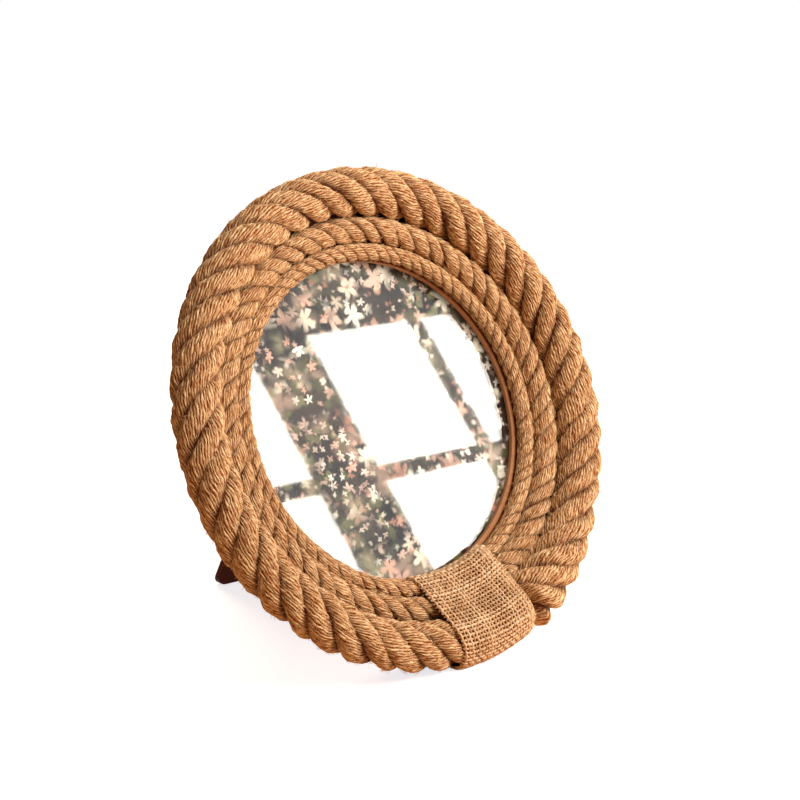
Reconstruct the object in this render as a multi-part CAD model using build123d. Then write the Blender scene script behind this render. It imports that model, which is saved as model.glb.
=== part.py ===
from build123d import *
import os
from math import cos, radians, sin, sqrt

# Sizes are in millimetres and angles in degrees. The frame is drawn face on: Z is its axis and
# points at the viewer, Y is up in its plane, and the front of its base ring is at Z = 0.
# It is then leant back and stood on the table, with Z up and its face towards -Y.

# Whole frame
OVERALL_DIAMETER = 200.0
LEAN = 23.0  # how far the face leans back from upright
TABLE_FLAT = 0.4  # depth that the wrap is pressed flat where the frame stands on it

# Ropes, glued side by side on the front of the base ring
OUTER_ROPE_DIAMETER = 19.5
MIDDLE_ROPE_DIAMETER = 10.5
INNER_ROPE_DIAMETER = 6.8
GLUE_FLAT = 0.4  # depth that each rope is pressed flat where it is glued
ROPE_GAP = 0.05  # between neighbouring ropes
ROPE_END_GAP = 1.0  # between the two ends of each rope, under the wrap

# Burlap wrap over the rope ends
WRAP_MIDDLE = 9.0  # place of its middle, from the frame's lowest point round to the right
WRAP_WIDTH = 38.5
WRAP_BACK_WIDTH = 12.0  # width that is glued to the back of the base ring
WRAP_SQUEEZE = 0.25  # how much of each rope's radius the tight cloth takes off
BURLAP_THICKNESS = 0.9
BURLAP_GAP = 0.05  # between the cloth and what it is pulled over

# Base ring
RING_EDGE_INSET = 9.5  # how far its edge stays inside the outer rope's edge
LEDGE_WIDTH = 1.5  # bare front inside the inner rope
LIP_THICKNESS = 2.0
LIP_WIDTH = 5.5  # step of the rabbet that the glass lies on

# Filling of the rabbet
GLASS_THICKNESS = 2.0
PRINT_THICKNESS = 0.3
CARD_THICKNESS = 1.2
BOARD_THICKNESS = 2.5
RABBET_CLEARANCE = 0.3

# Turn buttons and their screws
BUTTON_COUNT = 4
BUTTON_FIRST_ANGLE = 45.0
BUTTON_WIDTH = 7.0
BUTTON_THICKNESS = 1.0
BUTTON_GRIP = 4.5  # reach over the rabbet
BUTTON_PIVOT_INSET = 8.0  # from the rabbet's wall out to the screw
BUTTON_PLAY = 0.05  # between a button and what lies above and below it
PIVOT_CLEARANCE = 0.05  # radial, round what turns
SEAT_CLEARANCE = 0.02  # radial, round what is driven in
SCREW_DIAMETER = 2.4
SCREW_DEPTH = 5.5
SCREW_HEAD_DIAMETER = 5.2
SCREW_HEAD_HEIGHT = 1.2
SCREW_HEAD_ROUNDING = 0.5
SCREW_SLOT_WIDTH = 0.6
SCREW_SLOT_DEPTH = 0.6

# Hinge of the leg
HINGE_HEIGHT = 45.0  # pin above the frame's centre
HINGE_WIDTH = 20.0
LEAF_LENGTH = 13.0
LEAF_THICKNESS = 0.8
KNUCKLE_DIAMETER = 3.2
KNUCKLE_COUNT = 3
KNUCKLE_GAP = 0.2  # end to end
KNUCKLE_CLEARANCE = 0.2  # between a knuckle and what it turns against
PIN_DIAMETER = 1.6
RIVET_DIAMETER = 1.6
RIVET_DEPTH = 2.0
RIVET_HEAD_DIAMETER = 3.2
RIVET_HEAD_HEIGHT = 0.6
RIVET_HEAD_ROUNDING = 0.3
RIVET_SPACING = 11.0
RIVET_DROP = 8.0  # from the pin down to the rivets

# Easel leg
LEG_OPENING = 50.0  # between the back board and the open leg
LEG_THICKNESS = 3.0
LEG_TOP_WIDTH = 24.0
LEG_FOOT_WIDTH = 41.0
FOOT_ROUNDING = 5.0
STOP_GAP = 0.05  # between the leg's bevelled top and the board it stops on

# Rope radii, and the circles that the ropes follow: each lies against the one outside it
outer_radius = OUTER_ROPE_DIAMETER / 2
middle_radius = MIDDLE_ROPE_DIAMETER / 2
inner_radius = INNER_ROPE_DIAMETER / 2


def circle_inside(circle, radius, next_radius):
    """Circle of a rope that lies on the same face, against the rope outside it."""
    reach = radius + next_radius + ROPE_GAP
    return circle - sqrt(reach**2 - (radius - next_radius) ** 2)


outer_circle = OVERALL_DIAMETER / 2 - outer_radius
middle_circle = circle_inside(outer_circle, outer_radius, middle_radius)
inner_circle = circle_inside(middle_circle, middle_radius, inner_radius)

# Radii under the wrap, and round the outside of the cloth on the outer rope
outer_squeezed = outer_radius - WRAP_SQUEEZE
middle_squeezed = middle_radius - WRAP_SQUEEZE
inner_squeezed = inner_radius - WRAP_SQUEEZE
cloth_radius = outer_squeezed + BURLAP_GAP + BURLAP_THICKNESS

# Base ring and what it holds
ring_radius = OVERALL_DIAMETER / 2 - RING_EDGE_INSET
opening_radius = inner_circle - inner_radius - LEDGE_WIDTH
rabbet_radius = opening_radius + LIP_WIDTH
pane_radius = rabbet_radius - RABBET_CLEARANCE
glass_front = -LIP_THICKNESS
print_front = glass_front - GLASS_THICKNESS
card_front = print_front - PRINT_THICKNESS
board_front = card_front - CARD_THICKNESS
back = board_front - BOARD_THICKNESS

# Turn buttons
pivot_circle = rabbet_radius + BUTTON_PIVOT_INSET
screw_head_base = BUTTON_THICKNESS + 2 * BUTTON_PLAY

# Hinge: the pin is as far from the board as from the leg
knuckle_radius = KNUCKLE_DIAMETER / 2
pin_offset = knuckle_radius + KNUCKLE_CLEARANCE
pin_centre = Vector(0, HINGE_HEIGHT, back - pin_offset)

# Stand on the table, on the wrap
cloth_height = outer_squeezed - GLUE_FLAT
centre_height = outer_circle * cos(radians(LEAN)) - cloth_height * sin(radians(LEAN))
centre_height += cloth_radius - TABLE_FLAT
lean_back = Pos(0, 0, centre_height) * Rot(90 - LEAN, 0, 0)
pin_height = (lean_back * Pos(*pin_centre)).position.Z
leg_length = pin_height / cos(radians(LEG_OPENING - LEAN))
ROOM = 3 * OVERALL_DIAMETER  # larger than anything here, for cutting at a plane
above_table = Box(ROOM, ROOM, ROOM, align=(Align.CENTER, Align.CENTER, Align.MIN))

DOWN = (Align.CENTER, Align.CENTER, Align.MAX)
UP = (Align.CENTER, Align.CENTER, Align.MIN)


def revolved(section):
    """Turn a section, drawn as radius and height, about the frame's axis."""
    return revolve(Plane.XZ * section, Axis.Z)


# Block of the frame that the wrap covers, and the slit between the rope ends in its middle
to_wrap = Rot(0, 0, WRAP_MIDDLE - 90) * Pos(OVERALL_DIAMETER / 2, 0, 0)
under_wrap = to_wrap * Box(OVERALL_DIAMETER, WRAP_WIDTH, OVERALL_DIAMETER)
end_slit = to_wrap * Box(OVERALL_DIAMETER, ROPE_END_GAP, OVERALL_DIAMETER)


# Ropes
def rope_section(circle, radius):
    """Round section, flat where it is glued to the ring."""
    whole = Pos(circle, radius - GLUE_FLAT) * Circle(radius)
    above_ring = Pos(circle, radius) * Rectangle(2 * radius, 2 * radius)
    return whole & above_ring


def rope(circle, radius, squeezed_radius):
    """Rope round the frame, thinner under the wrap, where its two ends meet."""
    main = revolved(rope_section(circle, radius)) - under_wrap
    ends = revolved(rope_section(circle, squeezed_radius)) & under_wrap
    return main + (ends - end_slit)


def burlap_wrap():
    """Cloth pulled over the ropes from the lip to the ring's back, thick as one layer."""
    pulled_over = [
        (outer_circle, cloth_height, outer_squeezed),
        (middle_circle, middle_squeezed - GLUE_FLAT, middle_squeezed),
        (inner_circle, inner_squeezed - GLUE_FLAT, inner_squeezed),
        (opening_radius + BURLAP_GAP + BURLAP_THICKNESS, 0, 0),
        (ring_radius, back, 0),
        (ring_radius - WRAP_BACK_WIDTH, back, 0),
    ]

    def hull(growth):
        rounds = [Pos(x, height) * Circle(radius + growth) for x, height, radius in pulled_over]
        return make_hull([edge for shape in rounds for edge in shape.edges()])

    ring_block = Pos(ring_radius / 2, back / 2) * Rectangle(ring_radius, -back)
    section = hull(BURLAP_GAP + BURLAP_THICKNESS) - hull(BURLAP_GAP) - ring_block
    return revolved(section) & under_wrap


# Base ring, glass, print, card and board
button_angles = [BUTTON_FIRST_ANGLE + 360 * i / BUTTON_COUNT for i in range(BUTTON_COUNT)]
button_places = [Rot(0, 0, angle) * Pos(pivot_circle, 0, back) for angle in button_angles]


def base_ring():
    """Ring with a front lip, a rabbet behind it and holes for the screws."""
    corners = [
        (opening_radius, 0),
        (ring_radius, 0),
        (ring_radius, back),
        (rabbet_radius, back),
        (rabbet_radius, -LIP_THICKNESS),
        (opening_radius, -LIP_THICKNESS),
    ]
    hole = Cylinder(SCREW_DIAMETER / 2 + SEAT_CLEARANCE, SCREW_DEPTH, align=UP)
    ring = revolved(make_face(Polyline(corners, close=True)))
    return ring - [place * hole for place in button_places]


def disc(front, thickness):
    """Round sheet that lies in the rabbet, from its front face backwards."""
    return Pos(0, 0, front) * Cylinder(pane_radius, thickness, align=DOWN)


def headed_fastener(diameter, depth, head_diameter, head_height, rounding, grip):
    """Fastener with its shank along +Z from Z = 0 and its rounded head below -grip."""
    shank = Pos(0, 0, -grip) * Cylinder(diameter / 2, depth + grip, align=UP)
    head = Pos(0, 0, -grip) * Cylinder(head_diameter / 2, head_height, align=DOWN)
    head = fillet(head.edges().sort_by(Axis.Z)[0], rounding)
    return shank + head


# Turn buttons
def turn_button():
    """Flat button with its pivot at the origin, reaching towards the frame's centre."""
    reach = BUTTON_PIVOT_INSET + BUTTON_GRIP - BUTTON_WIDTH / 2
    outline = Pos(-reach / 2, 0) * SlotCenterToCenter(reach, BUTTON_WIDTH)
    pivot_hole = Circle(SCREW_DIAMETER / 2 + PIVOT_CLEARANCE)
    return Pos(0, 0, -BUTTON_PLAY) * extrude(outline - pivot_hole, -BUTTON_THICKNESS)


def button_screw():
    """Round-headed slotted screw that a button turns on."""
    head = (SCREW_HEAD_DIAMETER, SCREW_HEAD_HEIGHT, SCREW_HEAD_ROUNDING)
    screw = headed_fastener(SCREW_DIAMETER, SCREW_DEPTH, *head, grip=screw_head_base)
    slot = Box(SCREW_HEAD_DIAMETER, SCREW_SLOT_WIDTH, SCREW_SLOT_DEPTH, align=UP)
    return screw - Pos(0, 0, -screw_head_base - SCREW_HEAD_HEIGHT) * slot


# Hinge. Each leaf is drawn with the pin along X through the origin, the leaf hanging down -Y,
# and what it is riveted to below Z = -pin_offset.
leg_out = Vector(0, sin(radians(LEG_OPENING)), -cos(radians(LEG_OPENING)))
board_side = Plane(origin=pin_centre, x_dir=(-1, 0, 0), z_dir=(0, 0, -1)).location
leg_side = Plane(origin=pin_centre, x_dir=(1, 0, 0), z_dir=-leg_out).location

rivet_sides = (-RIVET_SPACING / 2, RIVET_SPACING / 2)
rivet_places = [Pos(x, -RIVET_DROP, -pin_offset) * Rot(180, 0, 0) for x in rivet_sides]


def rivet():
    """Rivet whose shank goes into what carries the leaf and whose head lies on the leaf."""
    head = (RIVET_HEAD_DIAMETER, RIVET_HEAD_HEIGHT, RIVET_HEAD_ROUNDING)
    return headed_fastener(RIVET_DIAMETER, RIVET_DEPTH, *head, grip=LEAF_THICKNESS)


def rivet_holes():
    """What is drilled out of a leaf and of what carries it."""
    hole = Pos(0, 0, -LEAF_THICKNESS)
    hole *= Cylinder(RIVET_DIAMETER / 2 + SEAT_CLEARANCE, RIVET_DEPTH + LEAF_THICKNESS, align=UP)
    return [place * hole for place in rivet_places]


def along_pin(radius, length, middle=0.0):
    """Round bar on the pin's axis."""
    return Pos(middle, 0, 0) * Rot(0, 90, 0) * Cylinder(radius, length)


def hinge_leaf(first_knuckle):
    """Leaf with every other knuckle, counted from first_knuckle, and room for the others."""
    pitch = HINGE_WIDTH / KNUCKLE_COUNT
    middles = [(i + 0.5) * pitch - HINGE_WIDTH / 2 for i in range(KNUCKLE_COUNT)]
    own = [middle for i, middle in enumerate(middles) if i % 2 == first_knuckle]
    others = [middle for i, middle in enumerate(middles) if i % 2 != first_knuckle]
    plate = Box(HINGE_WIDTH, LEAF_LENGTH, LEAF_THICKNESS, align=(Align.CENTER, Align.MAX, Align.MIN))
    plate = Pos(0, 0, -pin_offset) * plate
    plate -= [along_pin(pin_offset, pitch + KNUCKLE_GAP, middle) for middle in others]
    leaf = plate + [along_pin(knuckle_radius, pitch - KNUCKLE_GAP, middle) for middle in own]
    return leaf - along_pin(PIN_DIAMETER / 2 + PIVOT_CLEARANCE, HINGE_WIDTH) - rivet_holes()


# Easel leg, in the place of the leaf that carries it
def easel_leg():
    """Tapered leg, bevelled at the top to stop on the board and cut flat on the table."""
    opening = radians(LEG_OPENING)
    top = (pin_offset + cos(opening) * (pin_offset + LEG_THICKNESS)) / sin(opening) + LEG_THICKNESS
    bottom = -leg_length - pin_offset - 2 * LEG_THICKNESS

    def half_width(height):
        return (LEG_TOP_WIDTH + (LEG_TOP_WIDTH - LEG_FOOT_WIDTH) * height / leg_length) / 2

    right_side = [(half_width(top), top), (half_width(bottom), bottom)]
    corners = right_side + [(-x, height) for x, height in reversed(right_side)]
    blank = Pos(0, 0, -pin_offset) * extrude(make_face(Polyline(corners, close=True)), -LEG_THICKNESS)
    behind_board = Pos(0, 0, back - STOP_GAP) * Box(ROOM, ROOM, ROOM, align=DOWN)
    leg = lean_back * (leg_side * (blank - rivet_holes()) & behind_board) & above_table
    foot_corners = leg.faces().sort_by(Axis.Z)[0].edges().filter_by(Axis.X, reverse=True)
    return fillet(foot_corners, FOOT_ROUNDING)


drilled_board = disc(board_front, BOARD_THICKNESS) - [board_side * hole for hole in rivet_holes()]
leant = {
    "base_ring": base_ring(),
    "rope_outer": rope(outer_circle, outer_radius, outer_squeezed),
    "rope_middle": rope(middle_circle, middle_radius, middle_squeezed),
    "rope_inner": rope(inner_circle, inner_radius, inner_squeezed),
    "glass_pane": disc(glass_front, GLASS_THICKNESS),
    "photo_print": disc(print_front, PRINT_THICKNESS),
    "backing_card": disc(card_front, CARD_THICKNESS),
    "back_board": drilled_board,
    "turn_button_screws": Compound([place * button_screw() for place in button_places]),
    "hinge_board_leaf": board_side * hinge_leaf(0),
    "hinge_leg_leaf": leg_side * hinge_leaf(1),
    "hinge_pin": board_side * along_pin(PIN_DIAMETER / 2, HINGE_WIDTH),
    "hinge_board_rivets": Compound([board_side * place * rivet() for place in rivet_places]),
    "hinge_leg_rivets": Compound([leg_side * place * rivet() for place in rivet_places]),
}
for i, place in enumerate(button_places):
    leant[f"turn_button_{i + 1}"] = place * turn_button()

standing = {name: lean_back * shape for name, shape in leant.items()}
standing["burlap_wrap"] = lean_back * burlap_wrap() & above_table
standing["easel_leg"] = easel_leg()

# Centre the footprint on the origin, front to back
depth = Compound(list(standing.values())).bounding_box()
centred = Pos(0, -depth.center().Y, 0)

os.makedirs("parts", exist_ok=True)
for name, shape in standing.items():
    export_step(centred * shape, f"parts/{name}.step")

frame_place = centred * lean_back
print("overall", depth.size, "opening radius", round(opening_radius, 3), "ring radius", round(ring_radius, 3))
print("rope circles", [round(circle, 3) for circle in (outer_circle, middle_circle, inner_circle)])
print("frame centre", frame_place.position, "leg length", round(leg_length, 3))
print("hinge pin", (frame_place * Pos(*pin_centre)).position)
for i, place in enumerate(button_places):
    print("turn button", i + 1, "pivot", (frame_place * place).position)
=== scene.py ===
# %% [markdown]
# A round photo frame, wound with jute rope
#
# The real thing is a ring of fibreboard with three jute ropes glued round its front, a strip of
# burlap over the place where the rope ends meet, glass and a print behind the lip, and a folding
# leg at the back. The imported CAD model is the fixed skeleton: Blender adds what makes it look
# like jute, cloth, glass and brass, and leaves every CAD piece where it is.

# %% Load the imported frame
from math import asin, cos, dist, pi, radians, sin, tau
import bmesh
import bpy
import numpy as np
from mathutils import Matrix, Vector


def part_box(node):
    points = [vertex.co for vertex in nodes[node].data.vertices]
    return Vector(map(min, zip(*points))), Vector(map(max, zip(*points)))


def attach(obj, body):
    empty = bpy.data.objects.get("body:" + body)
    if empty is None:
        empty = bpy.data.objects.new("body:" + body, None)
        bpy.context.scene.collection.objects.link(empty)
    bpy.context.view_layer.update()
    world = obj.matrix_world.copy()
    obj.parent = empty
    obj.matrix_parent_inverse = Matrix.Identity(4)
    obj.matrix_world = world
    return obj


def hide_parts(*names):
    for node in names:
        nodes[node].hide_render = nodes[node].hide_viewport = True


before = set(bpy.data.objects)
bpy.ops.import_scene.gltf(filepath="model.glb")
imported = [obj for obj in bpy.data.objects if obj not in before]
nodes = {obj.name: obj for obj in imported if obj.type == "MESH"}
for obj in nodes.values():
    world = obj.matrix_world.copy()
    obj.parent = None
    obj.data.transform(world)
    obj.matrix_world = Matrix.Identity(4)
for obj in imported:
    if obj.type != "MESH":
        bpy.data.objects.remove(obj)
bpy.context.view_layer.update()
scene = bpy.context.scene

# %% [markdown]
# One drawing board for the whole frame
#
# The frame leans back on its leg, but it is easiest to draw face on: x to the right, y up and z
# out of the face, in millimetres, with the front of the base ring at z = 0. One matrix then
# stands everything up. The glass is a plain disc in the CAD model, so the middle of its box is a
# sure place to measure the frame's centre from.

# %% Stand the drawing up
MM = 0.001
LEAN = radians(23)
GLASS_MIDDLE = -3.0  # the pane lies from 2 to 4 mm behind the ring's front

turned_up = Matrix.Rotation(radians(90) - LEAN, 4, "X")
low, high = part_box("glass_pane")
centre = (low + high) / 2 - turned_up @ Vector((0, 0, GLASS_MIDDLE * MM))
STANDING = Matrix.Translation(centre) @ turned_up @ Matrix.Scale(MM, 4)
print("frame centre, mm", [round(c / MM, 3) for c in centre])

# %% [markdown]
# Small tools
#
# A node tree is a list of nodes and the wires between them, so one function that adds a node,
# chooses its settings and wires its inputs is enough to write any tree as plain lines. A node
# shows only the sockets that its settings need. Inputs therefore go by the order or the names
# seen in the editor, and a node stands for the first output that it shows. Colours are noted as
# sRGB hex, as a paint chart gives them, and shaders work in linear light, so one function changes
# the first to the second.


# %% Node and colour helpers
def shown(sockets):
    """The sockets that a node shows with its present settings, by order and by name."""
    visible = [socket for socket in sockets if socket.enabled]
    return dict(enumerate(visible)) | {socket.name: socket for socket in reversed(visible)}


def add(tree, kind, inputs=(), **settings):
    """Add a node, choose its settings, and set its inputs or wire them to other nodes."""
    node = tree.nodes.new(kind)
    for name, value in settings.items():
        setattr(node, name, value)
    for key, value in inputs.items() if isinstance(inputs, dict) else enumerate(inputs):
        socket = shown(node.inputs)[key]
        if isinstance(value, bpy.types.Node):
            value = shown(value.outputs)[0]
        if isinstance(value, bpy.types.NodeSocket):
            tree.links.new(value, socket)
        else:
            socket.default_value = value
    return node


def linear(code):
    """sRGB hex colour as the linear colour that a shader takes."""
    parts = [int(code[i : i + 2], 16) / 255 for i in (1, 3, 5)]
    return [p / 12.92 if p <= 0.04045 else ((p + 0.055) / 1.055) ** 2.4 for p in parts] + [1.0]


print("middle grey #808080 in linear light", [round(part, 3) for part in linear("#808080")])

# %% [markdown]
# Camera, window and table
#
# The photograph looks down on the frame from the left, through a long lens. Its glass mirrors a
# barred window at the front right, and that window is also the light: each pane is a
# rectangular lamp in one upright wall, so the gaps between them draw the bars on the glass. Two
# soft lamps, one in front and one behind, light the sides that the window leaves dark, and they
# are hidden from the glass. The table is a plain pale plane with a glow of its own, weaker near
# the frame, so that the frame's shadow stays. The world is a dim warm fill, as a room gives, which
# the camera, glass and metal see as white.

# %% Camera
CAMERA_PLACE = (-0.45338, -0.598709, 0.270702)  # m
CAMERA_TILT, CAMERA_TURN = radians(76.71), radians(-38.56)
LENS, SENSOR = 86.72, 36  # mm

camera = bpy.data.objects.new("Camera", bpy.data.cameras.new("Camera"))
camera.location = CAMERA_PLACE
camera.rotation_euler = (CAMERA_TILT, 0, CAMERA_TURN)
camera.data.lens = LENS
camera.data.sensor_width = SENSOR
scene.collection.objects.link(camera)
scene.camera = camera
scene.view_settings.view_transform = "Standard"
print("camera lens", camera.data.lens, "mm")

# %% Window panes as lamps
WALL = -0.8985  # the wall's place on Y, in m like all places of lamps
PANE_COLUMNS = [(0.495, 0.630), (0.712, 0.846), (0.866, 1.000), (1.082, 1.216), (1.236, 1.370)]
PANE_ROWS = [(0.145, 0.312), (0.331, 0.498), (0.517, 0.684)]
PANE_RADIANCE = 10.5  # bright enough for its reflection on clear glass to look white
INTO_ROOM = (radians(90), 0, 0)  # a lamp shines down until it is turned


def area_lamp(name, place, turn, wide, high, radiance, tint):
    """Rectangular lamp that is equally bright all over, whatever its size."""
    lamp = bpy.data.lights.new(name, "AREA")
    lamp.shape = "RECTANGLE"
    lamp.size, lamp.size_y = wide, high
    lamp.energy = 4 * wide * high * radiance
    lamp.color = linear(tint)[:3]
    holder = bpy.data.objects.new(name, lamp)
    holder.location = place
    holder.rotation_euler = turn
    scene.collection.objects.link(holder)
    return holder


for left, right in PANE_COLUMNS:
    for bottom, top in PANE_ROWS:
        middle = ((left + right) / 2, WALL, (bottom + top) / 2)
        area_lamp("Window_pane", middle, INTO_ROOM, right - left, top - bottom, PANE_RADIANCE, "#FFFAF3")
print("window panes", len(PANE_COLUMNS) * len(PANE_ROWS))

# %% Soft lamps in front and behind
# name: place, size across and radiance
SOFT_LAMPS = {
    "Front_lamp": (Vector((0.15, -0.5, 0.55)), 0.35, 10.6),
    "Back_lamp": (Vector((0.3, 0.7, 0.6)), 0.6, 5.0),
}
for name, (place, across, radiance) in SOFT_LAMPS.items():
    turn = (centre - place).to_track_quat("-Z", "Y").to_euler()
    softbox = area_lamp(name, place, turn, across, across, radiance, "#FFF6EA")
    softbox.visible_camera = False  # it stands close by, and would hide the frame from some sides
    softbox.visible_glossy = softbox.visible_transmission = False  # only the window is mirrored
    print(name, round(softbox.data.energy, 1), "W")

# %% World
FILL = 0.2  # light from all round, where white is 1


def seen_rays(tree):
    """1 for rays that show a thing itself, straight, mirrored or through glass, and 0 for light."""
    rays = add(tree, "ShaderNodeLightPath").outputs
    seen = add(tree, "ShaderNodeMath", [rays["Is Camera Ray"], rays["Is Glossy Ray"]], operation="MAXIMUM")
    return add(tree, "ShaderNodeMath", [seen, rays["Is Transmission Ray"]], operation="MAXIMUM")


world = bpy.data.worlds.new("Fill")
world.use_nodes = True
scene.world = world
tree = world.node_tree
tree.nodes.clear()
seen = seen_rays(tree)
level = add(tree, "ShaderNodeMapRange", {"Value": seen, "To Min": FILL, "To Max": 1.0})
tint = add(tree, "ShaderNodeMix", [seen, linear("#FFCA96"), linear("#FFFFFF")], data_type="RGBA")
sky = add(tree, "ShaderNodeBackground", {"Color": tint, "Strength": level})
add(tree, "ShaderNodeOutputWorld", [sky])
print("world fill", FILL)

# %% Table
TABLE_SIZE = 12  # m, far past the picture's edges
NEAR, FAR = 0.15, 0.9  # m from the frame, between which the glow rises to its full strength
NEAR_GLOW = 0.78


def new_material(name):
    """Empty node material; returns it with its tree."""
    material = bpy.data.materials.new(name)
    material.use_nodes = True
    material.node_tree.nodes.clear()
    return material, material.node_tree


bpy.ops.mesh.primitive_plane_add(size=TABLE_SIZE)
table = bpy.context.object
table.name = "Table"
# Matt white paint: no shine to the eye, and warm light from it on the undersides of the ropes
white, tree = new_material("White table")
seen = seen_rays(tree)
place = add(tree, "ShaderNodeTexCoord").outputs["Object"]
away = add(tree, "ShaderNodeVectorMath", [place], operation="LENGTH")
rise = {"Value": away, "From Min": NEAR, "From Max": FAR, "To Min": NEAR_GLOW}
lift = add(tree, "ShaderNodeMath", [seen, add(tree, "ShaderNodeMapRange", rise)], operation="MULTIPLY")
bounce = add(tree, "ShaderNodeMix", [seen, linear("#D8A874"), linear("#EDE0D0")], data_type="RGBA")
matt = add(tree, "ShaderNodeBsdfDiffuse", {"Color": bounce})
glow = add(tree, "ShaderNodeEmission", {"Color": linear("#F5F9FF"), "Strength": lift})
both = add(tree, "ShaderNodeAddShader", [matt, glow])
add(tree, "ShaderNodeOutputMaterial", [both])
table.data.materials.append(white)
print("table", TABLE_SIZE, "m wide")

# %% [markdown]
# Base ring
#
# The ring is cut from fibreboard: a round plate with an opening, a rabbet behind it for the glass,
# and edges eased with sandpaper. A hand-cut opening is never dead centre. Here it lies a little up
# and to the left of the ropes, so that its lip shows as a narrow brown edge on the right only. The
# CAD ring has it in the middle, so this ring stands in for that one. It could be turned with a
# Spin, but an opening off the centre can't, so faces are laid from circle to circle instead.

# %% Circles and the skin between them
CIRCLE_POINTS = 192


def circle_of(radius, z, x=0.0, y=0.0):
    """Points round a circle of the drawing."""
    turns = np.linspace(0, tau, CIRCLE_POINTS, endpoint=False)
    return [(x + radius * cos(t), y + radius * sin(t), z) for t in turns]


def skinned(name, loops, closed):
    """Object with faces from loop to loop of points: closed to a ring, or capped at both ends."""
    shape = bmesh.new()
    rows = [[shape.verts.new(point) for point in loop] for loop in loops]
    for a, b in zip(rows, rows[1:] + rows[:1] if closed else rows[1:]):
        for i in range(len(a)):
            shape.faces.new((a[i - 1], b[i - 1], b[i], a[i]))
    if not closed:
        shape.faces.new(rows[0])
        shape.faces.new(rows[-1][::-1])
    bmesh.ops.recalc_face_normals(shape, faces=shape.faces)
    mesh = bpy.data.meshes.new(name)
    shape.to_mesh(mesh)
    shape.free()
    mesh.transform(STANDING)
    piece = bpy.data.objects.new(name, mesh)
    scene.collection.objects.link(piece)
    return piece


print("points to a circle", CIRCLE_POINTS)

# %% Cut the base ring
RING_RADIUS, RING_BACK, RABBET_RADIUS, LIP, EASED = 90.5, -8.0, 67.987, 2.0, 0.3
OPENING_RADIUS, OPENING_PLACE = 63.6, (-0.6, 0.85)
SHARP_ANGLE = radians(30)

loops = [
    circle_of(OPENING_RADIUS + EASED, 0, *OPENING_PLACE),
    circle_of(OPENING_RADIUS, -EASED, *OPENING_PLACE),
    circle_of(OPENING_RADIUS, -LIP, *OPENING_PLACE),
    circle_of(RABBET_RADIUS, -LIP),
    circle_of(RABBET_RADIUS, RING_BACK),
    circle_of(RING_RADIUS - EASED, RING_BACK),
    circle_of(RING_RADIUS, RING_BACK + EASED),
    circle_of(RING_RADIUS, -EASED),
    circle_of(RING_RADIUS - EASED, 0),
]
cut_ring = skinned("cut_ring", loops, closed=True)
cut_ring.data.shade_smooth()
cut_ring.data.set_sharp_from_angle(angle=SHARP_ANGLE)
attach(cut_ring, "frame")
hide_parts("base_ring")
print("ring", len(cut_ring.data.polygons), "faces")

# %% [markdown]
# Jute rope: the fibre
#
# Jute is a coarse plant fibre, straw to tan, spun into yarns and left undyed. Up close it is a
# bundle of streaks along the yarn, with the shade between yarns and strands painted darker into
# the colour, and matt with a faint silky edge. The streaks follow each yarn, so the material reads the
# rope's own UV map, which counts yarns across and millimetres along. Two attributes from the
# rope's tree say how pale each yarn is and how deep a place lies between the strands.

# %% Streaks of fibre
FIBRE_WIDTH, FIBRE_LENGTH = 0.5, 4.0  # yarns and mm; real fibres are a tenth as wide, too fine to show
FIBRE_SLANT, HAIR_SLANT = radians(12), radians(-24)  # yarns are twisted, and loose hairs cross them
HAIR_WIDTH = 0.6 * FIBRE_WIDTH


def fibre_streaks(tree, uv, slant, width):
    """Streaks at a slant to the yarn."""
    sizes = {"Vector": uv, "Rotation": (0, 0, slant), "Scale": (width, FIBRE_LENGTH, 1)}
    along = add(tree, "ShaderNodeMapping", sizes, vector_type="TEXTURE")
    return add(tree, "ShaderNodeTexNoise", {"Vector": along, "Scale": 1, "Detail": 3, "Roughness": 0.6})


print("fibres to a yarn", 1 / FIBRE_WIDTH)

# %% Jute material
STREAK_SHARE, TONE_SHARE = 0.55, 0.45  # how far the streaks and the yarn's own tone set its colour
GROOVE_RAGGED, EDGE_RAGGED, BRIDGED_SHARE = 0.5, 0.2, 0.4  # how far fibres break the lines of shade
BRIDGE_SIZE = (7, 9, 1)  # yarns and mm; the size of places where fibres bridge a groove
STRAW_SHEEN = linear("#F0CFA6")


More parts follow.
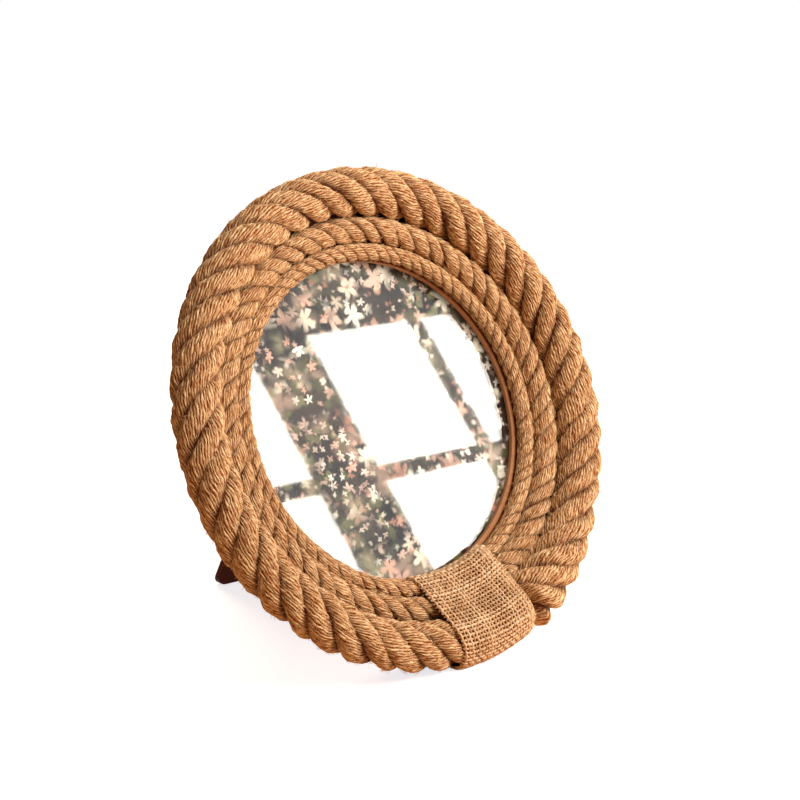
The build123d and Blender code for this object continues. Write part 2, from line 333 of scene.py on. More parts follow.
def jute(name, dark, pale, groove, depth, hair):
    """Spun jute with streaks along the yarn, and painted shade between yarns and strands."""
    material, tree = new_material(name)
    uv = add(tree, "ShaderNodeUVMap", uv_map="jute")
    fibre = fibre_streaks(tree, uv, FIBRE_SLANT, FIBRE_WIDTH)
    crossing = fibre_streaks(tree, uv, HAIR_SLANT, HAIR_WIDTH)
    tone = add(tree, "ShaderNodeAttribute", attribute_name="tone").outputs["Fac"]
    relief = add(tree, "ShaderNodeAttribute", attribute_name="relief").outputs["Fac"]

    # Every yarn has its own tone, with paler and darker streaks in it
    streak = add(tree, "ShaderNodeMapRange", {"Value": fibre, "From Min": 0.4, "From Max": 0.6})
    shade = add(tree, "ShaderNodeMath", [streak, STREAK_SHARE], operation="MULTIPLY")
    shade = add(tree, "ShaderNodeMath", [tone, TONE_SHARE, shade], operation="MULTIPLY_ADD")
    colour = add(tree, "ShaderNodeMix", [shade, linear(dark), linear(pale)], data_type="RGBA")

    # Painted shade in the groove between two yarns
    ridge = add(tree, "ShaderNodeSeparateXYZ", [uv]).outputs["X"]
    ridge = add(tree, "ShaderNodeMath", [ridge, pi], operation="MULTIPLY")
    ridge = add(tree, "ShaderNodeMath", [ridge], operation="SINE")
    ridge = add(tree, "ShaderNodeMath", [ridge], operation="ABSOLUTE")
    ridge = add(tree, "ShaderNodeMath", [streak, GROOVE_RAGGED, ridge], operation="MULTIPLY_ADD")
    ridge = add(tree, "ShaderNodeMapRange", {"Value": ridge, "From Min": 0.42, "From Max": 1.1})
    colour = add(tree, "ShaderNodeMix", [ridge, linear(groove), colour], data_type="RGBA")

    # Deeper painted shade between two strands, bridged by fibres here and there
    patch = add(tree, "ShaderNodeMapping", {"Vector": uv, "Scale": BRIDGE_SIZE}, vector_type="TEXTURE")
    bridged = add(tree, "ShaderNodeTexNoise", {"Vector": patch, "Scale": 1, "Detail": 2})
    ragged = add(tree, "ShaderNodeMath", [fibre, EDGE_RAGGED, relief], operation="MULTIPLY_ADD")
    ragged = add(tree, "ShaderNodeMath", [bridged, BRIDGED_SHARE, ragged], operation="MULTIPLY_ADD")
    open_air = add(tree, "ShaderNodeMapRange", {"Value": ragged, "From Min": 0.96, "From Max": 1.22})
    colour = add(tree, "ShaderNodeMix", [open_air, linear(depth), colour], data_type="RGBA")

    # Pale hairs across the yarns, and a rough surface
    hairs = {"Value": crossing, "From Min": 0.58, "From Max": 0.68, "To Max": 0.6}
    hairs = add(tree, "ShaderNodeMapRange", hairs)
    colour = add(tree, "ShaderNodeMix", [hairs, colour, linear(hair)], data_type="RGBA")
    rough = add(tree, "ShaderNodeMath", [fibre, crossing], operation="ADD")
    bump = add(tree, "ShaderNodeBump", {"Height": rough, "Strength": 1.0, "Distance": 0.5 * MM})
    look = {"Base Color": colour, "Normal": bump, "Roughness": 0.65, "Specular IOR Level": 0.15}
    look |= {"Sheen Weight": 0.06, "Sheen Roughness": 0.5, "Sheen Tint": STRAW_SHEEN}
    add(tree, "ShaderNodeOutputMaterial", [add(tree, "ShaderNodeBsdfPrincipled", look)])
    return material


# Spun plant fibre: dry and streaky to the eye, golden, with painted brown shade in every groove
jute_colours = {
    "dark": "#9E530A", "pale": "#FFDFAE", "groove": "#783300", "depth": "#5A2403", "hair": "#FFE9C4",
}
laid_jute = jute("Laid jute rope", **jute_colours)
print("material", laid_jute.name)

# %% [markdown]
# Jute rope: the lay
#
# A laid rope is several strands twisted to the right round each other, and each strand is a
# bundle of yarns twisted the other way, so the yarns on its outside run almost straight along the
# rope. A picture of rope on a smooth tube has no notched edge, so every strand is real
# geometry: a grid whose columns follow the yarns is rolled into a strand, turned round the
# rope's axis once per lay, and bent round the ring. The number of strand crests counted round
# the photograph's three ropes gives the lay.


# %% Tools for Geometry Nodes
def new_tree(name, sizes):
    """Geometry Nodes tree with named inputs; returns it with its inputs."""
    tree = bpy.data.node_groups.new(name, "GeometryNodeTree")
    tree.interface.new_socket("Geometry", in_out="OUTPUT", socket_type="NodeSocketGeometry")
    for size, kind in sizes.items():
        tree.interface.new_socket(size, in_out="INPUT", socket_type="NodeSocket" + kind)
    return tree, tree.nodes.new("NodeGroupInput").outputs


def finish_tree(tree, made, material):
    """Make a tree's instances real, give them their material and hand them out."""
    made = add(tree, "GeometryNodeRealizeInstances", [made])
    made = add(tree, "GeometryNodeSetMaterial", {"Geometry": made, "Material": material})
    add(tree, "NodeGroupOutput", [made])
    print(tree.name, "tree", len(tree.nodes), "nodes")


def grown(name, tree, sizes, place=STANDING, drawn=None):
    """Run a tree with these sizes, on a drawn line if it needs one, and keep a plain mesh object."""
    piece = bpy.data.objects.new(name, drawn or bpy.data.meshes.new(name))
    scene.collection.objects.link(piece)
    modifier = piece.modifiers.new("Growth", "NODES")
    modifier.node_group = tree
    for socket in tree.interface.items_tree:
        if socket.in_out == "INPUT" and socket.name != "Geometry":
            modifier[socket.identifier] = sizes[socket.name]
    evaluated = piece.evaluated_get(bpy.context.evaluated_depsgraph_get())
    mesh = bpy.data.meshes.new_from_object(evaluated)
    piece.modifiers.remove(modifier)
    piece.data = mesh
    mesh.name = name
    mesh.transform(place)
    return piece


# %% Strand: a flat grid, its place along the rope and round the strand
COLUMNS_PER_YARN = 4

strand_sizes = {
    "Ring radius": "Float", "Rope radius": "Float", "Strand distance": "Float", "Strand depth": "Float",
    "Strand width": "Float", "Lay length": "Float", "Yarns": "Int", "Yarn relief": "Float", "Rows": "Int",
    "First turn": "Float", "Start angle": "Float", "Run angle": "Float", "Squeezed share": "Float",
    "Opened share": "Float", "Wrap reach": "Float", "Glue flat": "Float", "Seed": "Int",
    "Material": "Material",
}
strand_tree, size = new_tree("Laid strand", strand_sizes)
tree = strand_tree
columns = add(tree, "ShaderNodeMath", [size["Yarns"], COLUMNS_PER_YARN, 1], operation="MULTIPLY_ADD")
flat = add(tree, "GeometryNodeMeshGrid", [1, 1, columns, size["Rows"]])
spot = add(tree, "ShaderNodeSeparateXYZ", [add(tree, "GeometryNodeInputPosition")]).outputs
u = add(tree, "ShaderNodeMath", [spot["X"], 0.5], operation="ADD")
v = add(tree, "ShaderNodeMath", [spot["Y"], 0.5], operation="ADD")
run = add(tree, "ShaderNodeMath", [v, size["Run angle"]], operation="MULTIPLY")
angle = add(tree, "ShaderNodeMath", [run, size["Start angle"]], operation="ADD")
along = add(tree, "ShaderNodeMath", [run, size["Ring radius"]], operation="MULTIPLY")
laid = add(tree, "ShaderNodeMath", [along, size["Lay length"]], operation="DIVIDE")
laid = add(tree, "ShaderNodeMath", [laid, tau], operation="MULTIPLY")
turn = add(tree, "ShaderNodeMath", [laid, size["First turn"]], operation="ADD")
yarn_turn = add(tree, "ShaderNodeMath", [u, tau], operation="MULTIPLY")
back_twist = add(tree, "ShaderNodeMath", [size["Rope radius"], size["Strand width"]], operation="DIVIDE")
back_twist = add(tree, "ShaderNodeMath", [laid, back_twist], operation="MULTIPLY")
round_strand = add(tree, "ShaderNodeMath", [yarn_turn, back_twist], operation="SUBTRACT")
print("strand so far", len(tree.nodes), "nodes")

# %% [markdown]
# Hand-laid rope is uneven: the lay wanders, and yarns shift sideways and swell. Noise along the
# rope does both. It is read on a circle round the strand, so that the last yarn meets the first,
# and every strand's seed starts it at another place.

# %% Strand: uneven lay
UNEVEN_LENGTH = 4.0  # mm of rope to one change of the yarns
WANDER_SLOWNESS = 0.12  # the lay wanders over a longer stretch, by this share
YARN_SPREAD = 2.2  # radius of the noise's circle; a larger one makes neighbouring yarns less alike
SEED_STEP = 50
YARN_SHIFT, LAY_WANDER = 0.4, 0.45  # radians
NOISE_MIDDLE = 0.5
NOISE_CENTRE = (NOISE_MIDDLE, NOISE_MIDDLE, NOISE_MIDDLE)

yarn_side = {"Vector": (YARN_SPREAD, 0, 0), "Angle": yarn_turn}
yarn_side = add(tree, "ShaderNodeVectorRotate", yarn_side, rotation_type="Z_AXIS")
far_along = add(tree, "ShaderNodeMath", [along, 1 / UNEVEN_LENGTH], operation="MULTIPLY")
far_along = add(tree, "ShaderNodeMath", [size["Seed"], SEED_STEP, far_along], operation="MULTIPLY_ADD")
uneven = add(tree, "ShaderNodeCombineXYZ", {"Z": far_along})
uneven = add(tree, "ShaderNodeVectorMath", [yarn_side, uneven], operation="ADD")
uneven = add(tree, "ShaderNodeTexNoise", {"Vector": uneven, "Scale": 1, "Detail": 3}).outputs["Color"]
uneven = add(tree, "ShaderNodeVectorMath", [uneven, NOISE_CENTRE], operation="SUBTRACT")
sideways, swelling, _ = add(tree, "ShaderNodeSeparateXYZ", [uneven]).outputs
round_strand = add(tree, "ShaderNodeMath", [sideways, YARN_SHIFT, round_strand], operation="MULTIPLY_ADD")
slow = add(tree, "ShaderNodeMath", [far_along, WANDER_SLOWNESS], operation="MULTIPLY")
slow = add(tree, "ShaderNodeTexNoise", {"W": slow, "Scale": 1, "Detail": 1}, noise_dimensions="1D")
slow = add(tree, "ShaderNodeMath", [slow, NOISE_MIDDLE], operation="SUBTRACT")
turn = add(tree, "ShaderNodeMath", [slow, LAY_WANDER, turn], operation="MULTIPLY_ADD")
print("strand so far", len(tree.nodes), "nodes")

# %% [markdown]
# Each yarn is one rounded ridge along the strand, and some are prouder and paler than others. A
# yarn's number, with the strand's seed, picks its own tone, and a slow drift along it lets it rise
# out of the strand and sink again.

# %% Strand: yarns
RIDGE_POWER = 0.7  # below 1, a ridge is fuller than a sine
YARN_SWELL = 2.6
ON_SEAM = 0.01  # a column on the line between two yarns counts with the second
YARNS_AT_MOST = 100
DRIFT_PER_MM, DRIFT_SHARE = 0.11, 0.4
STRAND_SWELL = 0.4

yarn = add(tree, "ShaderNodeMath", [u, size["Yarns"]], operation="MULTIPLY")
ridge = add(tree, "ShaderNodeMath", [yarn, pi], operation="MULTIPLY")
ridge = add(tree, "ShaderNodeMath", [ridge], operation="SINE")
ridge = add(tree, "ShaderNodeMath", [ridge], operation="ABSOLUTE")
ridge = add(tree, "ShaderNodeMath", [ridge, RIDGE_POWER], operation="POWER")
ridge = add(tree, "ShaderNodeMath", [swelling, YARN_SWELL, ridge], operation="MULTIPLY_ADD")
own_yarn = add(tree, "ShaderNodeMath", [yarn, ON_SEAM], operation="ADD")
own_yarn = add(tree, "ShaderNodeMath", [own_yarn], operation="FLOOR")
own_yarn = add(tree, "ShaderNodeMath", [own_yarn, size["Yarns"]], operation="MODULO")
own_yarn = add(tree, "ShaderNodeMath", [size["Seed"], YARNS_AT_MOST, own_yarn], operation="MULTIPLY_ADD")
chance = add(tree, "ShaderNodeTexWhiteNoise", {"W": own_yarn}, noise_dimensions="1D")
drift = add(tree, "ShaderNodeMath", [along, DRIFT_PER_MM, own_yarn], operation="MULTIPLY_ADD")
drift = add(tree, "ShaderNodeTexNoise", {"W": drift, "Scale": 1, "Detail": 2}, noise_dimensions="1D")
tone = add(tree, "ShaderNodeMix", [DRIFT_SHARE, chance, drift])
proud = {"Value": drift, "From Min": 0.3, "From Max": 0.7, "To Min": 0.45, "To Max": 1.4}
proud = add(tree, "ShaderNodeMapRange", proud)
ridge = add(tree, "ShaderNodeMath", [ridge, proud], operation="MULTIPLY")
ridge = add(tree, "ShaderNodeMath", [ridge, size["Yarn relief"]], operation="MULTIPLY")
swollen = add(tree, "ShaderNodeMath", [slow, STRAND_SWELL, 1.0], operation="MULTIPLY_ADD")
width = add(tree, "ShaderNodeMath", [size["Strand width"], swollen], operation="MULTIPLY")
ridged = []
for reach in (width, size["Strand depth"]):
    reach = add(tree, "ShaderNodeMath", [reach, size["Yarn relief"]], operation="SUBTRACT")
    ridged.append(add(tree, "ShaderNodeMath", [reach, ridge], operation="ADD"))
width, depth = ridged
print("strand so far", len(tree.nodes), "nodes")

# %% [markdown]
# The rolled strand is turned about the rope's axis. Its first and last rows close to a point, so
# that it has ends. Where the wrap holds it the rope is squeezed, beside the wrap it swells out
# again, and at its underside it is glued flat to the ring. Then it is bent round.

# %% Strand: rolled, with closed ends
END_ROWS = 0.49999  # share of the run from its middle, past which only the end rows lie

middle = add(tree, "ShaderNodeMath", [v, 0.5], operation="SUBTRACT")
middle = add(tree, "ShaderNodeMath", [middle], operation="ABSOLUTE")
body = add(tree, "ShaderNodeMath", [middle, END_ROWS], operation="LESS_THAN")
across = add(tree, "ShaderNodeMath", [round_strand], operation="SINE")
across = add(tree, "ShaderNodeMath", [across, body], operation="MULTIPLY")
across = add(tree, "ShaderNodeMath", [across, width], operation="MULTIPLY")
outwards = add(tree, "ShaderNodeMath", [round_strand], operation="COSINE")
outwards = add(tree, "ShaderNodeMath", [outwards, body], operation="MULTIPLY")
outwards = add(tree, "ShaderNodeMath", [outwards, depth, size["Strand distance"]], operation="MULTIPLY_ADD")
section = add(tree, "ShaderNodeCombineXYZ", {"X": across, "Z": outwards})
section = add(tree, "ShaderNodeVectorRotate", {"Vector": section, "Angle": turn}, rotation_type="Y_AXIS")
relief = add(tree, "ShaderNodeVectorMath", [section], operation="LENGTH")
relief = add(tree, "ShaderNodeMath", [relief, size["Rope radius"]], operation="DIVIDE")
print("strand so far", len(tree.nodes), "nodes")

# %% Strand: squeezed, glued flat and bent round
WRAP_SOFTNESS = 3.0  # mm over which the rope swells out again beside the wrap
OPENED_RUN = 55.0  # mm over which the opened end is back to the rope's own size

left_to_go = add(tree, "ShaderNodeMath", [size["Run angle"], run], operation="SUBTRACT")
from_end = add(tree, "ShaderNodeMath", [run, left_to_go], operation="MINIMUM")
from_end = add(tree, "ShaderNodeMath", [from_end, size["Ring radius"]], operation="MULTIPLY")
clear_of_wrap = add(tree, "ShaderNodeMath", [size["Wrap reach"], WRAP_SOFTNESS], operation="ADD")
tidy_again = add(tree, "ShaderNodeMath", [size["Wrap reach"], OPENED_RUN], operation="ADD")
opened = {"Value": along, "From Min": size["Wrap reach"], "From Max": tidy_again}
opened |= {"To Min": size["Opened share"], "To Max": 1.0}
opened = add(tree, "ShaderNodeMapRange", opened)
share = {"Value": from_end, "From Min": size["Wrap reach"], "From Max": clear_of_wrap}
share |= {"To Min": size["Squeezed share"], "To Max": opened}
share = add(tree, "ShaderNodeMapRange", share, interpolation_type="SMOOTHSTEP")
parts = add(tree, "ShaderNodeSeparateXYZ", [section]).outputs
radial = add(tree, "ShaderNodeMath", [parts["X"], share, size["Ring radius"]], operation="MULTIPLY_ADD")
height = add(tree, "ShaderNodeMath", [parts["Z"], size["Rope radius"]], operation="ADD")
height = add(tree, "ShaderNodeMath", [height, share], operation="MULTIPLY")
height = add(tree, "ShaderNodeMath", [height, size["Glue flat"]], operation="SUBTRACT")
height = add(tree, "ShaderNodeMath", [height, 0.0], operation="MAXIMUM")
bent = add(tree, "ShaderNodeCombineXYZ", {"X": radial, "Z": height})
bent = add(tree, "ShaderNodeVectorRotate", {"Vector": bent, "Angle": angle}, rotation_type="Z_AXIS")
print("strand so far", len(tree.nodes), "nodes")

# %% Strand: what the jute material reads
SEAM = 0.001  # mm within which the grid's two sides become one

length = add(tree, "ShaderNodeMath", [size["Run angle"], size["Ring radius"]], operation="MULTIPLY")
to_yarns = add(tree, "ShaderNodeCombineXYZ", {"X": size["Yarns"], "Y": length, "Z": 1})
yarn_uv = add(tree, "ShaderNodeVectorMath", [flat.outputs["UV Map"], to_yarns], operation="MULTIPLY")
strand = flat
for name, value, kind, domain in (
    ("jute", yarn_uv, "FLOAT2", "CORNER"),
    ("tone", tone, "FLOAT", "POINT"),
    ("relief", relief, "FLOAT", "POINT"),
):
    stored = {"Geometry": strand, "Name": name, "Value": value}
    strand = add(tree, "GeometryNodeStoreNamedAttribute", stored, data_type=kind, domain=domain)
strand = add(tree, "GeometryNodeSetPosition", {"Geometry": strand, "Position": bent})
strand = add(tree, "GeometryNodeMergeByDistance", {"Geometry": strand, "Distance": SEAM})
strand = add(tree, "GeometryNodeSetShadeSmooth", [strand])
finish_tree(tree, strand, size["Material"])

# %% [markdown]
# Jute rope: three sizes
#
# The outer rope has four strands, the two thinner ones three. Every rope starts and ends in the
# middle of the wrap, 9 degrees to the right of the frame's lowest point, where the tight cloth
# squeezes it. The two ends stay a millimetre apart, as cut rope does. The end that leaves the wrap
# to the right was opened a little by handling, so the rope is fatter there for a few centimetres.

# %% Wind the ropes
WRAP_ANGLE = radians(9 - 90)
WRAP_HALF = 38.5 / 2
WRAP_SQUEEZE = 0.25
END_GAP, GLUE_FLAT = 1.0, 0.4
OFF_TABLE = 0.02  # mm

# name: circle, radius, opened share, strands, strand distance and width, lay, yarns, relief, row step
ROPES = {
    "rope_outer": (90.25, 9.75, 1.27, 4, 5.15, 5.15, 49.3, 28, 0.52, 0.8),
    "rope_middle": (75.889, 5.25, 1.06, 3, 2.55, 3.5, 24.7, 22, 0.38, 0.65),
    "rope_inner": (67.387, 3.4, 1.0, 3, 1.65, 2.35, 16.5, 14, 0.3, 0.55),
}


def pressed_on_table(piece):
    """Flatten what would reach below the table, as the frame's weight does."""
    places = np.empty(len(piece.data.vertices) * 3, np.float32)
    piece.data.vertices.foreach_get("co", places)
    heights = places[2::3]
    np.maximum(heights, OFF_TABLE * MM, out=heights)
    piece.data.vertices.foreach_set("co", places)
    piece.data.update()
    return piece


strands = {}
for number, (rope, made) in enumerate(ROPES.items()):
    circle, radius, opened, count, distance, wide, lay, yarns, relief, step = made
    start = END_GAP / 2 / circle
    strands[rope] = []
    for i in range(count):
        sizes = {
            "Ring radius": circle, "Rope radius": radius, "Strand distance": distance,
            "Strand depth": radius - distance, "Strand width": wide, "Lay length": lay, "Yarns": yarns,
            "Yarn relief": relief, "Rows": int(tau * circle / step), "First turn": tau * i / count + number,
            "Start angle": WRAP_ANGLE + start, "Run angle": tau - 2 * start,
            "Squeezed share": 1 - WRAP_SQUEEZE / radius, "Opened share": opened,
            "Wrap reach": circle * asin(WRAP_HALF / circle), "Glue flat": GLUE_FLAT,
            "Seed": 10 * number + i, "Material": laid_jute,
        }
        strand = pressed_on_table(grown(f"{rope}_strand_{i + 1}", strand_tree, sizes))
        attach(strand, "frame")
        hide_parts(rope)
        strands[rope].append(strand)
    print(rope, count, "strands,", len(strands[rope][0].data.polygons), "faces each")

# %% [markdown]
# Jute rope: loose fibres
#
# Jute is hairy: short fibres work loose all over the strands and catch the light along the
# frame's edge. Hair particles would need their own render settings and wouldn't leave Blender, so
# each fibre is a thin bent sliver of three sides, scattered over the crests with a fixed seed.

# %% Tree for loose fibres
CREST = 0.8  # share of the rope's radius from which fibres stand free
FIBRE_SLIMNESS = 0.028  # radius as a share of the length; coarser than real, so that it shows
FIBRE_BEND = {"Start": (0, 0, -0.03), "Middle": (0.4, 0.15, 0.13), "End": (1.0, -0.12, 0.01)}
LOWEST_TIP, HIGHEST_TIP = -0.2, 0.1  # radians

fuzz_sizes = {
    "Strands": "Collection", "Count per square metre": "Float", "Shortest": "Float", "Longest": "Float",
    "Seed": "Int", "Material": "Material",
}
fuzz_tree, size = new_tree("Loose fibres", fuzz_sizes)
tree = fuzz_tree
rope_here = add(tree, "GeometryNodeCollectionInfo", [size["Strands"]])
rope_here = add(tree, "GeometryNodeRealizeInstances", [rope_here])
crest = add(tree, "GeometryNodeInputNamedAttribute", {"Name": "relief"}, data_type="FLOAT")
crest = add(tree, "FunctionNodeCompare", [crest, CREST], operation="GREATER_THAN")
spots = {"Mesh": rope_here, "Selection": crest, "Seed": size["Seed"]}
spots |= {"Density": size["Count per square metre"]}
spots = add(tree, "GeometryNodeDistributePointsOnFaces", spots)
line = add(tree, "GeometryNodeCurveQuadraticBezier", FIBRE_BEND | {"Resolution": 3})
profile = add(tree, "GeometryNodeCurvePrimitiveCircle", {"Resolution": 3, "Radius": FIBRE_SLIMNESS})
fibre = add(tree, "GeometryNodeCurveToMesh", {"Curve": line, "Profile Curve": profile, "Fill Caps": True})
length = add(tree, "FunctionNodeRandomValue", {"Min": size["Shortest"], "Max": size["Longest"], "Seed": 7})
spin = add(tree, "FunctionNodeRandomValue", {"Min": 0.0, "Max": tau, "Seed": 8})
tip = add(tree, "FunctionNodeRandomValue", {"Min": LOWEST_TIP, "Max": HIGHEST_TIP, "Seed": 9})
own_turn = add(tree, "ShaderNodeCombineXYZ", {"Y": tip, "Z": spin})
own_turn = add(tree, "FunctionNodeEulerToRotation", [own_turn])
turned = [spots.outputs["Rotation"], own_turn]
turned = add(tree, "FunctionNodeRotateRotation", turned, rotation_space="LOCAL")
fuzz = {"Points": spots, "Instance": fibre, "Rotation": turned, "Scale": length}
fuzz = add(tree, "GeometryNodeInstanceOnPoints", fuzz)
finish_tree(tree, fuzz, size["Material"])


# %% Loose fibre material
def drawing_millimetres(tree):
    """Object coordinates brought back to the flat drawing, in millimetres."""
    place = add(tree, "ShaderNodeTexCoord").outputs["Object"]
    turn = {"Vector": place, "Location": centre, "Rotation": turned_up.to_euler(), "Scale": (MM, MM, MM)}
    return add(tree, "ShaderNodeMapping", turn, vector_type="TEXTURE")


FIBRE_PATCH = 5.0  # mm over which loose fibres are alike in colour

# Single fibres of raw jute: pale glints along the rope's outline, some golden, some brown
loose_jute, tree = new_material("Loose jute fibre")
patch = {"Vector": drawing_millimetres(tree), "Scale": 1 / FIBRE_PATCH, "Detail": 2}
patch = add(tree, "ShaderNodeTexNoise", patch)
colour = add(tree, "ShaderNodeMix", [patch, linear("#B87430"), linear("#FFD89E")], data_type="RGBA")
look = {"Base Color": colour, "Roughness": 0.6, "Sheen Weight": 0.2}
add(tree, "ShaderNodeOutputMaterial", [add(tree, "ShaderNodeBsdfPrincipled", look)])
print("material", loose_jute.name)

# %% Scatter the loose fibres
FUZZ = {"rope_outer": 200000, "rope_middle": 290000, "rope_inner": 330000}  # fibres per square metre
SHORTEST_FIBRE, LONGEST_FIBRE = 0.8, 3.0

for number, (rope, density) in enumerate(FUZZ.items()):
    group = bpy.data.collections.new(rope + "_strands")
    for strand in strands[rope]:
        group.objects.link(strand)
    sizes = {
        "Strands": group, "Count per square metre": density, "Shortest": SHORTEST_FIBRE * MM,
        "Longest": LONGEST_FIBRE * MM, "Seed": number, "Material": loose_jute,
    }
    fuzz = pressed_on_table(grown(rope + "_fuzz", fuzz_tree, sizes, place=Matrix.Identity(4)))
    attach(fuzz, "frame")
    bpy.data.collections.remove(group)
    print(fuzz.name, len(fuzz.data.polygons), "faces")

# %% [markdown]
# Burlap: cloth pulled over the ropes
#
# A strip of burlap hides the rope ends. It is pulled tight from the lip over the three ropes and
# round to the back, where it is glued, and its sides are folded under. Its threads are as thick
# as string with open gaps between them, so a weave painted on a smooth sheet looks wrong from
# the side. Here the threads are woven flat, over and under, and the flat weave is then pulled
# over the outline of the ropes, which is the tight line round their sections.

# %% Tight line over the ropes
LIP_EDGE, BACK_END = 63.437, 78.5  # radii at which the cloth starts in front and ends behind
CLOTH_CLEARANCE = 0.15
DOTS_ROUND = 144

rounds = [(LIP_EDGE, 0, 0), (RING_RADIUS, RING_BACK, 0), (BACK_END, RING_BACK, 0)]
for circle, radius, *_ in ROPES.values():
    squeezed = radius - WRAP_SQUEEZE
    rounds.append((circle, squeezed - GLUE_FLAT, squeezed))


def turns_left(a, b, c):
    """Whether the way from a over b to c turns to the left at b."""
    return (b[0] - a[0]) * (c[1] - a[1]) - (b[1] - a[1]) * (c[0] - a[0]) > 0


dots = []
for x, z, r in rounds:
    r += CLOTH_CLEARANCE
    dots += [(x + r * cos(t), z + r * sin(t)) for t in np.linspace(0, tau, DOTS_ROUND, endpoint=False)]
dots.sort()
tight = []  # the upper side first, from the lip outwards, then the lower side back again
for row in (dots, dots[::-1]):
    side = []
    for dot in row:
        while len(side) > 1 and turns_left(side[-2], side[-1], dot):
            side.pop()
        side.append(dot)
    tight += side[:-1]
glued_end = (BACK_END, RING_BACK - CLOTH_CLEARANCE)
tight = tight[: 1 + tight.index(min(tight, key=lambda dot: dist(dot, glued_end)))]
tight_line = bpy.data.meshes.new("Tight line")
tight_line.from_pydata([(r, 0, z) for r, z in tight], [(i, i + 1) for i in range(len(tight) - 1)], [])
cloth_length = sum(dist(a, b) for a, b in zip(tight, tight[1:]))
print("cloth length from lip to back, mm", round(cloth_length, 1))


# %% Pull flat cloth over the tight line
def pulled_over(tree, cloth, tight_curve):
    """Move flat cloth, x across and y along, on to the tight line."""
    spot = add(tree, "ShaderNodeSeparateXYZ", [add(tree, "GeometryNodeInputPosition")]).outputs
    on_line = {"Curves": tight_curve, "Length": spot["Y"]}
    on_line = add(tree, "GeometryNodeSampleCurve", on_line, mode="LENGTH").outputs
    here = add(tree, "ShaderNodeSeparateXYZ", [on_line["Position"]]).outputs
    way = add(tree, "ShaderNodeSeparateXYZ", [on_line["Tangent"]]).outputs
    sunk = add(tree, "ShaderNodeMath", [spot["Z"], way["Z"]], operation="MULTIPLY")
    radius = add(tree, "ShaderNodeMath", [here["X"], sunk], operation="SUBTRACT")
    height = add(tree, "ShaderNodeMath", [spot["Z"], way["X"], here["Z"]], operation="MULTIPLY_ADD")
    squared = add(tree, "ShaderNodeMath", [spot["X"], spot["X"]], operation="MULTIPLY")
    outwards = add(tree, "ShaderNodeMath", [radius, radius], operation="MULTIPLY")
    outwards = add(tree, "ShaderNodeMath", [outwards, squared], operation="SUBTRACT")
    outwards = add(tree, "ShaderNodeMath", [outwards], operation="SQRT")
    pulled = add(tree, "ShaderNodeCombineXYZ", [outwards, spot["X"], height])
    pulled = {"Vector": pulled, "Angle": WRAP_ANGLE}
    pulled = add(tree, "ShaderNodeVectorRotate", pulled, rotation_type="Z_AXIS")
    return add(tree, "GeometryNodeSetPosition", {"Geometry": cloth, "Position": pulled})


# %% [markdown]
# Burlap: the weave
#
# Burlap is a plain weave of single jute threads: the warp runs along the strip, the weft across
# it, each over one thread and under the next. Two sines multiplied give just that up and down.
# The threads were spun unevenly, so they wander, and they are thick in some places and thin in
# others.

# %% Weave: threads in rows
THREAD_STEP = 0.4  # mm between the points of a thread

weave_sizes = {
    "Geometry": "Geometry", "Left": "Float", "Width": "Float", "Length": "Float", "Pitch": "Float",
    "Lift": "Float", "Thread radius": "Float", "Wave": "Float", "Seed": "Int", "Material": "Material",
}
weave_tree, size = new_tree("Burlap weave", weave_sizes)


def thread_rows(tree, size, first, way, reach, start, end):
    """Straight threads side by side, as many as the reach holds, each from its start to its end."""
    count = add(tree, "ShaderNodeMath", [reach, size["Pitch"]], operation="DIVIDE")
    first = add(tree, "ShaderNodeCombineXYZ", first)
    step = add(tree, "ShaderNodeCombineXYZ", {way: size["Pitch"]})
    row = add(tree, "GeometryNodeMeshLine", {"Count": count, "Start Location": first, "Offset": step})
    ends = [add(tree, "ShaderNodeCombineXYZ", start), add(tree, "ShaderNodeCombineXYZ", end)]
    thread = add(tree, "GeometryNodeCurvePrimitiveLine", ends)
    thread = {"Curve": thread, "Length": THREAD_STEP}
    thread = add(tree, "GeometryNodeResampleCurve", thread, mode="LENGTH")
    rows = add(tree, "GeometryNodeInstanceOnPoints", {"Points": row, "Instance": thread})
    return add(tree, "GeometryNodeRealizeInstances", [rows])


print("weave inputs", ", ".join(weave_sizes))

# %% Weave: over and under
FOLD_WIDTH, FOLD_DEPTH = 1.3, 0.8


def over_and_under(tree, size, upwards):
    """Height of the threads: up and down by turns, and folded down at the strip's two sides."""
    spot = add(tree, "ShaderNodeSeparateXYZ", [add(tree, "GeometryNodeInputPosition")]).outputs
    from_left = add(tree, "ShaderNodeMath", [spot["X"], size["Left"]], operation="SUBTRACT")
    waves = []
    for place in (from_left, spot["Y"]):
        wave = add(tree, "ShaderNodeMath", [place, size["Pitch"]], operation="DIVIDE")
        wave = add(tree, "ShaderNodeMath", [wave, pi], operation="MULTIPLY")
        waves.append(add(tree, "ShaderNodeMath", [wave], operation="SINE"))
    over = add(tree, "ShaderNodeMath", waves, operation="MULTIPLY")
    over = add(tree, "ShaderNodeMath", [over, size["Wave"]], operation="MULTIPLY")
    over = add(tree, "ShaderNodeMath", [over, upwards, size["Lift"]], operation="MULTIPLY_ADD")
    side = add(tree, "ShaderNodeMath", [spot["X"]], operation="ABSOLUTE")
    fold = {"Value": side, "From Min": WRAP_HALF - FOLD_WIDTH, "From Max": WRAP_HALF, "To Max": -FOLD_DEPTH}
    fold = add(tree, "ShaderNodeMapRange", fold, interpolation_type="SMOOTHSTEP")
    return add(tree, "ShaderNodeMath", [over, fold], operation="ADD")


print("sides folded down, mm", FOLD_DEPTH)

# %% Weave: warp and weft
WANDER_PER_MM = 0.13
THREAD_WANDER = (1.6, 1.6, 0.5)  # mm for each unit of noise


